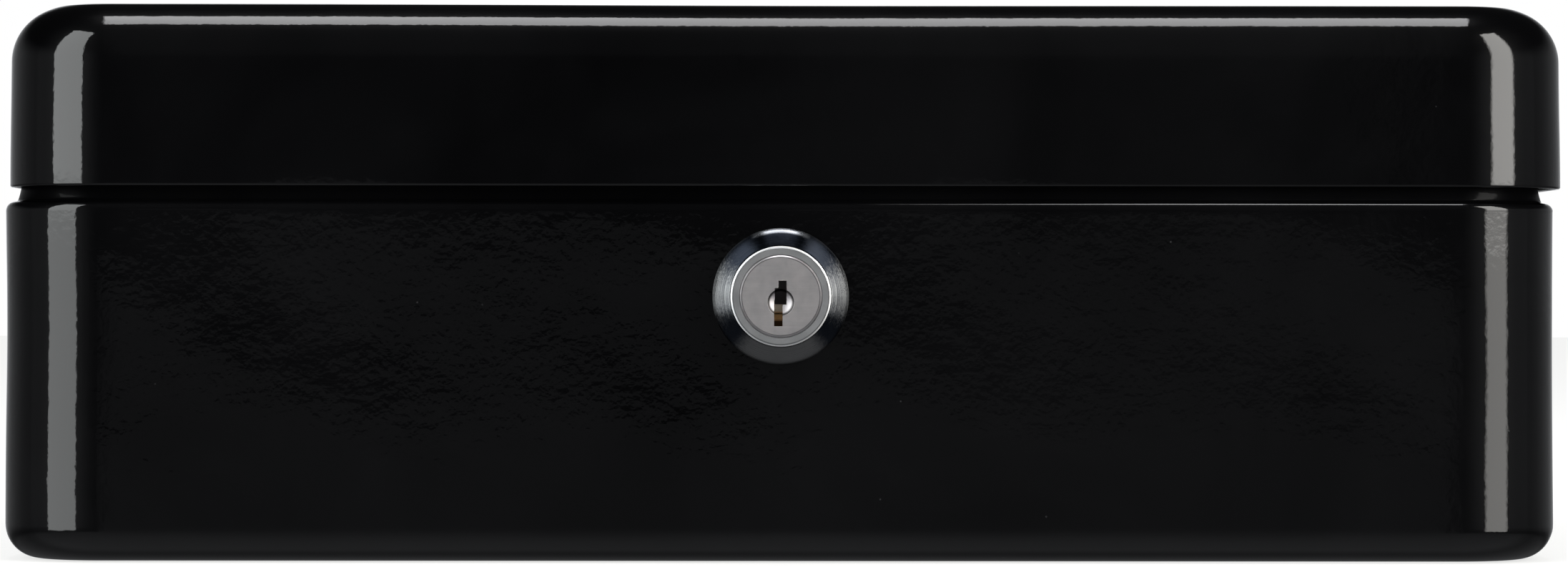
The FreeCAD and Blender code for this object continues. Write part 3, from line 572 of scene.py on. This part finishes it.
def chrome_turned(name):
    """Plating over turned metal: fine rings round the lock's axis, painted highlights in fans and
    along the top edge, a painted grey reflection low down.
    """
    mat = Material(name)
    offset, distance = mat.axis_distance(LOCK_Z * MM)
    radial = mat.vector("NORMALIZE", mat.vector("MULTIPLY", offset, (1, 0, 1)))
    fine = mat.rings(distance, scale=26000.0, detail=3.0, roughness=0.7)
    coarse = mat.rings(distance, scale=7000.0, detail=2.0, roughness=0.6, offset=0.4)
    # Streaks that fan out from the axis: noise over direction, stretched along the radius
    drift = mat.combine(0.0, mat.times(distance, 260.0), 0.0)
    fan = mat.noise(scale=21.0, detail=4.0, roughness=0.75, distortion=0.3,
                    vector=mat.vector("ADD", radial, drift))
    stain = mat.noise(scale=310.0, detail=4.0, roughness=0.6, distortion=0.5)
    pits = mat.specks(scale=1500.0, size=(0.03, 0.10), patch_scale=420.0, patch=(0.58, 0.62))
    up = mat.axes(radial)[2]

    def fray(amount):
        return mat.times(mat.math("SUBTRACT", fan, 0.5), amount)

    # Painted highlights: bright fans at both sides and along the outer top edge; painted reflection:
    # grey low down
    height = mat.math("ABSOLUTE", mat.math("SUBTRACT", up, 0.06))
    side = mat.soft(mat.plus(height, fray(0.85)), span=(0.06, 0.56), to=(1, 0))
    turning = mat.plus(mat.remap(coarse, span=(0.32, 0.68), to=(0.45, 1.15)),
                       mat.remap(distance, span=(0.0094, 0.0105), to=(0.0, 0.85)))
    side = mat.times(side, turning)
    top = mat.times(mat.soft(up, span=(0.885, 0.955)),
                    mat.soft(distance, span=(0.00990, 0.01035)))
    low = mat.soft(mat.plus(up, fray(0.25)), span=(-0.66, -0.86))
    # Near-black bluish base colour, painted in for the dark reflection over most of the cone
    colour = mat.mix(mat.remap(stain, span=(0.3, 0.75)),
                     (0.013, 0.016, 0.023), (0.024, 0.028, 0.037))
    # mask, strength, colour laid over
    for mask, strength, tint in (
            (low, 0.85, (0.19, 0.19, 0.192)), (side, 0.36, (0.62, 0.63, 0.635)),
            (top, 0.75, (0.66, 0.69, 0.74)), (pits, 0.6, (0.03, 0.03, 0.03))):
        colour = mat.mix(mat.times(mask, strength), colour, tint)
    roughness = mat.remap(stain, span=(0.3, 0.75), to=(0.20, 0.30))
    roughness = mat.plus(roughness, mat.times(mat.remap(coarse, span=(0.3, 0.7)), 0.06))
    normal = mat.bump(fine, distance=0.0000016)
    normal = mat.bump(mat.noise(scale=900.0), distance=0.0000035, under=normal)
    return mat.principled(Base_Color=colour, Metallic=1.0, Roughness=roughness,
                          Anisotropic=0.75, Tangent=radial, Normal=normal)


def chrome_satin(name):
    """The lock's housing: fine-turned satin plating, with a painted highlight on the front rim and a
    ring of painted shade in the groove inside it.
    """
    mat = Material(name)
    _, distance = mat.axis_distance(LOCK_Z * MM)
    rings = mat.rings(distance, scale=21000.0, detail=3.0, roughness=0.7)
    stain = mat.noise(scale=380.0, detail=4.0, roughness=0.6, distortion=0.5)
    # Painted highlight along the front rim
    rim = mat.times(mat.remap(distance, span=(0.00762, 0.00774)),
                    mat.remap(mat.axes(mat.place)[1], span=(-0.0952, -0.0954)))
    # Painted shade in the groove inside the rim
    groove = mat.band(distance, rise=(0.00744, 0.00750), fall=(0.00762, 0.00770), peak=0.6)
    colour = mat.mix(mat.remap(stain, span=(0.3, 0.75)), (0.70, 0.71, 0.73), (0.58, 0.585, 0.60))
    colour = mat.mix(mat.remap(rings, span=(0.45, 0.75), to=(0.0, 0.4)),
                     colour, (0.44, 0.45, 0.47))
    colour = mat.mix(groove, colour, (0.22, 0.23, 0.24))
    colour = mat.mix(rim, colour, (0.97, 0.97, 0.98))
    roughness = mat.plus(mat.remap(stain, span=(0.3, 0.75), to=(0.40, 0.50)),
                         mat.times(rim, 0.08))
    normal = mat.bump(rings, distance=0.0000022)
    normal = mat.bump(mat.noise(scale=1000.0), distance=0.000003, under=normal)
    # The rim is rolled over rather than cut square
    past_edge = mat.math("MAXIMUM", mat.math("SUBTRACT", distance, 0.00764), 0.0)
    roll = mat.times(past_edge, mat.times(rim, 0.40))
    normal = mat.bump(roll, distance=1.0, under=normal)
    return mat.principled(Base_Color=colour, Metallic=1.0, Roughness=roughness, Normal=normal)


def plug_metal(name):
    """Satin face with faint straight brushing, a ring of painted shade in the gap near its edge and
    painted shade in the dish.
    """
    mat = Material(name)
    _, distance = mat.axis_distance(LOCK_Z * MM)
    brush = mat.streaks(scale=(60.0, 60.0, 9000.0), turn=(0.0, 0.12, 0.0),
                        detail=4.0, roughness=0.75)
    wide_brush = mat.streaks(scale=(140.0, 140.0, 2600.0), turn=(0.0, 0.10, 0.0),
                             detail=2.0, roughness=0.6)
    blot = mat.noise(scale=420.0, detail=4.0, roughness=0.6, distortion=0.4)
    face = mat.remap(mat.axes(mat.place)[1], span=(-0.0957, -0.0958))
    # Painted shade in the gap between the plug and the housing
    gap = mat.band(distance, rise=(0.00604, 0.00610), fall=(0.00616, 0.00622))
    colour = mat.mix(mat.remap(blot, span=(0.3, 0.72)), (0.61, 0.58, 0.59), (0.50, 0.485, 0.50))
    colour = mat.mix(mat.remap(wide_brush, span=(0.45, 0.75), to=(0.0, 0.16)),
                     colour, (0.76, 0.74, 0.74))
    colour = mat.mix(mat.times(gap, mat.times(face, 0.75)), colour, (0.10, 0.10, 0.11))
    # Painted shade in the outer part of the round dish, darker deeper down
    _, from_dish = mat.axis_distance(0.04125)
    dish_shade = mat.times(mat.soft(from_dish, span=(0.00160, 0.00192)),
                     mat.remap(from_dish, span=(0.00214, 0.00217), to=(1, 0)))
    depth = mat.remap(mat.axes(mat.place)[1], span=(-0.09619, -0.09616), to=(0.0, 0.93))
    colour = mat.mix(mat.times(dish_shade, depth), colour, (0.035, 0.033, 0.032))
    edge = mat.remap(distance, span=(0.00616, 0.00622))
    roughness = mat.math("SUBTRACT", mat.remap(brush, span=(0.3, 0.7), to=(0.43, 0.52)),
                         mat.times(edge, 0.12))
    normal = mat.bump(brush, distance=0.0000012)
    normal = mat.bump(mat.noise(scale=1400.0), distance=0.000003, under=normal)
    return mat.principled(Base_Color=colour, Metallic=1.0, Roughness=roughness,
                          Anisotropic=0.25, Tangent=(0.0, 0.0, 1.0), Normal=normal)


def bright_wire(name):
    """Bright plating over drawn wire: lines along X and small scuffs."""
    mat = Material(name)
    line = mat.streaks(scale=(60.0, 700.0, 700.0), detail=3.0, roughness=0.6)
    scuff = mat.noise(scale=110.0, detail=5.0, roughness=0.68, distortion=0.8)
    worn = mat.remap(scuff, span=(0.56, 0.72))
    colour = mat.mix(worn, (0.70, 0.69, 0.67), (0.55, 0.54, 0.52))
    roughness = mat.plus(mat.remap(line, span=(0.3, 0.7), to=(0.11, 0.17)),
                         mat.times(worn, 0.14))
    normal = mat.bump(line, distance=0.000006)
    normal = mat.bump(scuff, distance=0.00001, under=normal)
    return mat.principled(Base_Color=colour, Metallic=1.0, Roughness=roughness, Normal=normal)


def zinc(name):
    """Bright zinc plating on pressed steel: blotchy, with fine lines and a tint of yellow and blue."""
    mat = Material(name)
    blot = mat.noise(scale=95.0, detail=5.0, roughness=0.62, distortion=1.2)
    cell = mat.node("SeparateColor", {0: mat.cells(scale=330.0, out="Color")}).outputs[0]
    line = mat.streaks(scale=(180.0, 2200.0, 1600.0), detail=3.0, roughness=0.7)
    colour = mat.ramp(blot, [
        (0.25, (0.40, 0.42, 0.45)), (0.5, (0.52, 0.53, 0.54)), (0.75, (0.55, 0.53, 0.47))])
    colour = mat.mix(mat.times(cell, 0.22), colour, (0.36, 0.37, 0.40))
    roughness = mat.plus(mat.remap(blot, span=(0.3, 0.75), to=(0.27, 0.42)),
                         mat.times(cell, 0.06))
    normal = mat.bump(line, distance=0.000012)
    normal = mat.bump(mat.noise(scale=700.0, detail=3.0, roughness=0.6),
                      distance=0.000014, under=normal)
    return mat.principled(Base_Color=colour, Metallic=1.0, Roughness=roughness,
                          Anisotropic=0.25, Normal=normal)


def spring(name):
    """Grey spring steel with brownish blots."""
    mat = Material(name)
    blot = mat.noise(scale=900.0, detail=3.0, roughness=0.6, distortion=0.5)
    colour = mat.ramp(blot, [
        (0.3, (0.30, 0.29, 0.28)), (0.6, (0.42, 0.41, 0.40)), (0.8, (0.36, 0.29, 0.20))])
    return mat.principled(
        Base_Color=colour, Metallic=1.0,
        Roughness=mat.remap(blot, span=(0.3, 0.7), to=(0.24, 0.36)),
        Normal=mat.bump(mat.noise(scale=2600.0), distance=0.000004))


def brass(name):
    """Stamped brass: shear marks and brown tarnish."""
    mat = Material(name)
    tarnish = mat.noise(scale=520.0, detail=5.0, roughness=0.65, distortion=0.8)
    shear = mat.streaks(scale=(900.0, 5200.0, 900.0), detail=2.0, roughness=0.6)
    colour = mat.ramp(tarnish, [
        (0.28, (0.83, 0.66, 0.36)), (0.5, (0.70, 0.50, 0.22)),
        (0.68, (0.42, 0.25, 0.10)), (0.85, (0.20, 0.12, 0.06))])
    roughness = mat.remap(tarnish, span=(0.3, 0.8), to=(0.22, 0.46))
    normal = mat.bump(shear, distance=0.000008)
    normal = mat.bump(tarnish, distance=0.000012, under=normal)
    # Painted highlight pale at the top of the key slot, painted shade in a dark break under it and
    # darker still deep in the slot
    z = mat.axes(mat.place)[2]
    pale = mat.remap(z, span=(0.03965, 0.03985), to=(0.0, 0.75))
    dark_break = mat.band(z, rise=(0.03930, 0.03940), fall=(0.03955, 0.03965))
    deep = mat.remap(z, span=(0.03862, 0.03826), to=(0.0, 0.92))
    colour = mat.mix(mat.remap(z, span=(0.0400, 0.0398), to=(0.0, 0.5)),
                     colour, (0.90, 0.46, 0.19))
    colour = mat.mix(pale, colour, (0.96, 0.88, 0.74))
    colour = mat.mix(mat.math("MAXIMUM", mat.times(dark_break, 0.8), deep),
                     colour, (0.030, 0.016, 0.010))
    return mat.principled(Base_Color=colour, Metallic=1.0, Roughness=roughness, Normal=normal)


def plastic(name):
    """Moulded black tray: fine grain, satin, a few rubbed patches."""
    mat = Material(name)
    rub = mat.noise(scale=26.0, detail=4.0, roughness=0.6, distortion=0.7)
    colour = mat.mix(mat.remap(rub, span=(0.35, 0.7)),
                     (0.014, 0.014, 0.0155), (0.021, 0.021, 0.0225))
    normal = mat.bump(mat.noise(scale=2400.0, detail=3.0, roughness=0.6), distance=0.00004)
    # The cell grain is laid over at less than full strength
    grain = mat.node("Bump", {
        "Height": mat.cells(scale=1700.0, feature="SMOOTH_F1"),
        "Distance": 0.00003, "Strength": 0.8, "Normal": normal})
    return mat.principled(
        Base_Color=colour, Roughness=mat.remap(rub, span=(0.35, 0.75), to=(0.46, 0.34)),
        Specular_IOR_Level=0.45, Normal=grain.outputs[0])


MATERIALS = {
    "black_enamel": enamel("black_enamel", neck_top=0.0590),
    "body_enamel": enamel("body_enamel", neck_top=0.0672),
    "lock_chrome": chrome_turned("lock_chrome"),
    "lock_satin": chrome_satin("lock_satin"),
    "lock_plug_metal": plug_metal("lock_plug_metal"),
    "handle_chrome": bright_wire("handle_chrome"),
    "zinc_steel": zinc("zinc_steel"),
    "spring_steel": spring("spring_steel"),
    "wafer_brass": brass("wafer_brass"),
    "tray_plastic": plastic("tray_plastic"),
}
# Material of each CAD part; the rest are zinc-plated
FINISH = {
    "lock_rosette": "lock_chrome",
    "lock_housing": "lock_satin",
    "lock_plug": "lock_plug_metal",
    "wafer_tumblers": "wafer_brass",
    "wafer_springs": "spring_steel",
    "plug_retaining_clip": "spring_steel",
    "carry_handle": "handle_chrome",
    "handle_rivets": "handle_chrome",
    "coin_tray": "tray_plastic",
    "tray_rail_left": "black_enamel",
    "tray_rail_right": "black_enamel",
    "lid_shell": "black_enamel",
    "base_shell": "black_enamel",
}


def paint(ob, finish):
    slots = ob.data.materials
    if len(slots) == 0:
        slots.append(MATERIALS[finish])
    for i in range(len(slots)):
        slots[i] = MATERIALS[finish]


paint(base, "body_enamel")
paint(lid, "black_enamel")
for part_name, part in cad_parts.items():
    finish = FINISH.get(part_name, "zinc_steel")
    paint(part, finish)

# ---------------------------------------------------------------- floor and softboxes, metres
scene = bpy.context.scene
scene.view_settings.view_transform = "Standard"
scene.view_settings.look = "None"
scene.view_settings.exposure = 0.0
scene.view_settings.gamma = 1.0


def floor_material(name):
    """Pale grey that also glows, so that it stays near white."""
    mat = Nodes(bpy.data.materials.new(name))
    diffuse = mat.node("BsdfDiffuse", {0: (0.30, 0.30, 0.298, 1)})
    glow = mat.node("Emission", {"Color": (1, 1, 0.99, 1), "Strength": 0.74})
    both = mat.node("AddShader", {0: diffuse.outputs[0], 1: glow.outputs[0]})
    mat.node("OutputMaterial", {0: both.outputs[0]})
    return mat.owner


def softbox_material(name, strength, tint, edges, step):
    """Softbox face that fades over `edges`, its U and V margins as fractions of the face.

    `step` is (V start, V end, gain): the face is brighter by the gain above that height.
    """
    mat = Nodes(bpy.data.materials.new(name))
    across = mat.axes(mat.node("UVMap", uv_map="UVMap").outputs[0])
    fades = []
    for axis, edge in enumerate(edges):
        off_centre = mat.math("ABSOLUTE", mat.math("SUBTRACT", across[axis], 0.5))
        fades.append(mat.soft(off_centre, span=(0.5 - edge, 0.5), to=(1, 0)))
    level = mat.remap(mat.times(*fades), span=(0, 1), to=(0, strength))
    if step:
        start, end, gain = step
        level = mat.times(level, mat.soft(across[1], span=(start, end), to=(1, gain)))
    glow = mat.node("Emission", {"Color": opaque(tint), "Strength": level})
    mat.node("OutputMaterial", {0: glow.outputs[0]})
    return mat.owner


def plane(name, centre, half_u, half_v, material):
    """Rectangle from its centre and two half-side vectors."""
    c, u, v = Vector(centre), Vector(half_u), Vector(half_v)
    mesh = bpy.data.meshes.new(name)
    mesh.from_pydata([c - u - v, c + u - v, c + u + v, c - u + v], [], [(0, 1, 2, 3)])
    uv = mesh.uv_layers.new(name="UVMap")
    for i, corner in enumerate(((0, 0), (1, 0), (1, 1), (0, 1))):
        uv.data[i].uv = corner
    mesh.materials.append(material)
    ob = bpy.data.objects.new(name, mesh)
    scene.collection.objects.link(ob)
    return ob


def softbox(name, centre, half_u, half_v, strength, tint, edges, step=None):
    material = softbox_material(name, strength, tint, edges, step)
    ob = plane(name, centre, half_u, half_v, material)
    ob.visible_camera = False
    ob.visible_shadow = False


def side_softbox(name, seen_from, angles, **face):
    """Upright softbox that fills a span of azimuths seen from a point (x, y).

    Azimuths are in degrees from -Y, positive towards +X.
    """
    distance, bottom, top = 1.15, -0.30, 1.75
    azimuth = math.radians(sum(angles) / 2)
    half_width = distance * math.tan(math.radians((angles[1] - angles[0]) / 2))
    outward = Vector((math.sin(azimuth), -math.cos(azimuth), 0))
    side = Vector((math.cos(azimuth), math.sin(azimuth), 0))
    centre = Vector((*seen_from, (bottom + top) / 2)) + outward * distance
    softbox(name, centre, side * half_width, (0, 0, (top - bottom) / 2), **face)


floor = plane("studio_floor", centre=(0, 0.4, -0.00015), half_u=(4, 0, 0), half_v=(0, 4, 0),
              material=floor_material("studio_floor"))
floor.visible_glossy = False
side_softbox("softbox_left", seen_from=(-0.118, -0.083), angles=(-66.3, -30.5),
             strength=3.1, tint=(0.97, 1.0, 1.0), edges=(0.05, 0.03), step=(0.177, 0.194, 1.36))
side_softbox("softbox_right", seen_from=(0.118, -0.083), angles=(31.5, 62.5),
             strength=3.5, tint=(1.0, 0.985, 0.95), edges=(0.16, 0.03), step=(0.177, 0.194, 1.85))
softbox("softbox_top", centre=(0.01, -0.060, 1.30), half_u=(0.35, 0, 0), half_v=(0, 0.285, 0),
        strength=5.6, tint=(0.985, 0.985, 1.0), edges=(0.06, 0.10))


# ---------------------------------------------------------------- world
def build_world():
    """White to the camera; reflections see a pale sweep behind and dark on the camera's side."""
    world = Nodes(bpy.data.worlds.new("studio"))
    soft, times, plus = world.soft, world.times, world.plus
    x, y, z = world.axes(world.node("TexCoord").outputs["Generated"])

    def sideways(span, to):
        return soft(world.math("ABSOLUTE", x, 0.0), span, to)

    # (Y of the direction, brightness) of the sweep behind the object
    sweep_stops = ((0.0, 0.095), (0.26, 0.11), (0.70, 0.19), (0.82, 0.24), (0.92, 0.36),
                   (0.985, 0.85))
    sweep = world.ramp(y, [(at, (level,) * 3) for at, level in sweep_stops])
    # Spill round the side boxes
    spill = times(sideways(span=(0.16, 0.56), to=(0, 1)), 0.13)
    spill = times(spill, soft(y, span=(-0.05, 0.05), to=(1, 0)))
    around = plus(times(sweep, soft(y, span=(-0.05, 0.05))), spill)
    around = times(around, soft(z, span=(0.10, 0.42), to=(1.0, 0.03)))
    # Faint light on the camera's side, with a strip a little right of the middle
    front = times(soft(z, span=(0.0, 0.30), to=(0.004, 0.036)),
                  soft(y, span=(-0.1, 0.1), to=(1.0, 0.1)))
    front = times(front, sideways(span=(0.15, 0.20), to=(1.0, 0.12)))
    strip = times(soft(x, span=(-0.02, 0.10), to=(0.0, 0.030)),
                  soft(x, span=(0.12, 0.16), to=(1.0, 0.1)))
    front = plus(front, times(strip, soft(y, span=(-0.5, -0.2), to=(1, 0))))
    sky = plus(around, front)
    # Below the horizon
    ground = times(soft(z, span=(-0.95, -0.01), to=(0.26, 0.085)),
                   soft(y, span=(-0.25, 0.25), to=(1.0, 0.42)))
    ground = times(ground, world.math(
        "MAXIMUM", sideways(span=(0.15, 0.20), to=(1.0, 0.30)),
        soft(z, span=(-0.4, -0.2), to=(1, 0))))
    ground = plus(ground, times(around, soft(z, span=(-0.25, -0.02), to=(0.1, 0.8))))
    level = plus(times(sky, soft(z, span=(-0.004, 0.004))),
                 times(ground, soft(z, span=(-0.004, 0.004), to=(1, 0))))

    def background(colour, strength):
        return world.node("Background", {0: opaque(colour), 1: strength}).outputs[0]

    # Reflections, then diffuse light, then what the camera sees
    rays = world.node("LightPath").outputs
    shader = world.node("MixShader", {
        0: rays["Is Diffuse Ray"],
        1: background((0.95, 0.97, 1.0), strength=level),
        2: background((0.97, 0.985, 1.0), strength=0.55)}).outputs[0]
    shader = world.node("MixShader", {
        0: rays["Is Camera Ray"], 1: shader,
        2: background((1, 1, 1), strength=1.0)}).outputs[0]
    world.node("OutputWorld", {0: shader})
    return world.owner


scene.world = build_world()


# ---------------------------------------------------------------- camera
def add_camera(place, yaw, pitch, roll):
    """Camera looking along +Y; yaw turns it to the right, pitch up. Angles in degrees."""
    data = bpy.data.cameras.new("camera")
    data.sensor_width = 36.0
    data.lens = 108.82408
    data.clip_start = 0.01
    data.clip_end = 20.0
    camera = bpy.data.objects.new("camera", data)
    scene.collection.objects.link(camera)
    yaw, pitch, roll = (math.radians(angle) for angle in (yaw, pitch, roll))
    forward = Vector((math.sin(yaw) * math.cos(pitch), math.cos(yaw) * math.cos(pitch),
                      math.sin(pitch)))
    level_right = Vector((math.cos(yaw), -math.sin(yaw), 0.0))
    level_up = level_right.cross(forward)
    right = level_right * math.cos(roll) + level_up * math.sin(roll)
    up = level_up * math.cos(roll) - level_right * math.sin(roll)
    rows = zip(right, up, -forward, place)
    camera.matrix_world = Matrix((*rows, (0, 0, 0, 1)))
    scene.camera = camera


add_camera(place=(-0.00404, -0.840, 0.04185), yaw=0.349, pitch=0.152, roll=0.066)
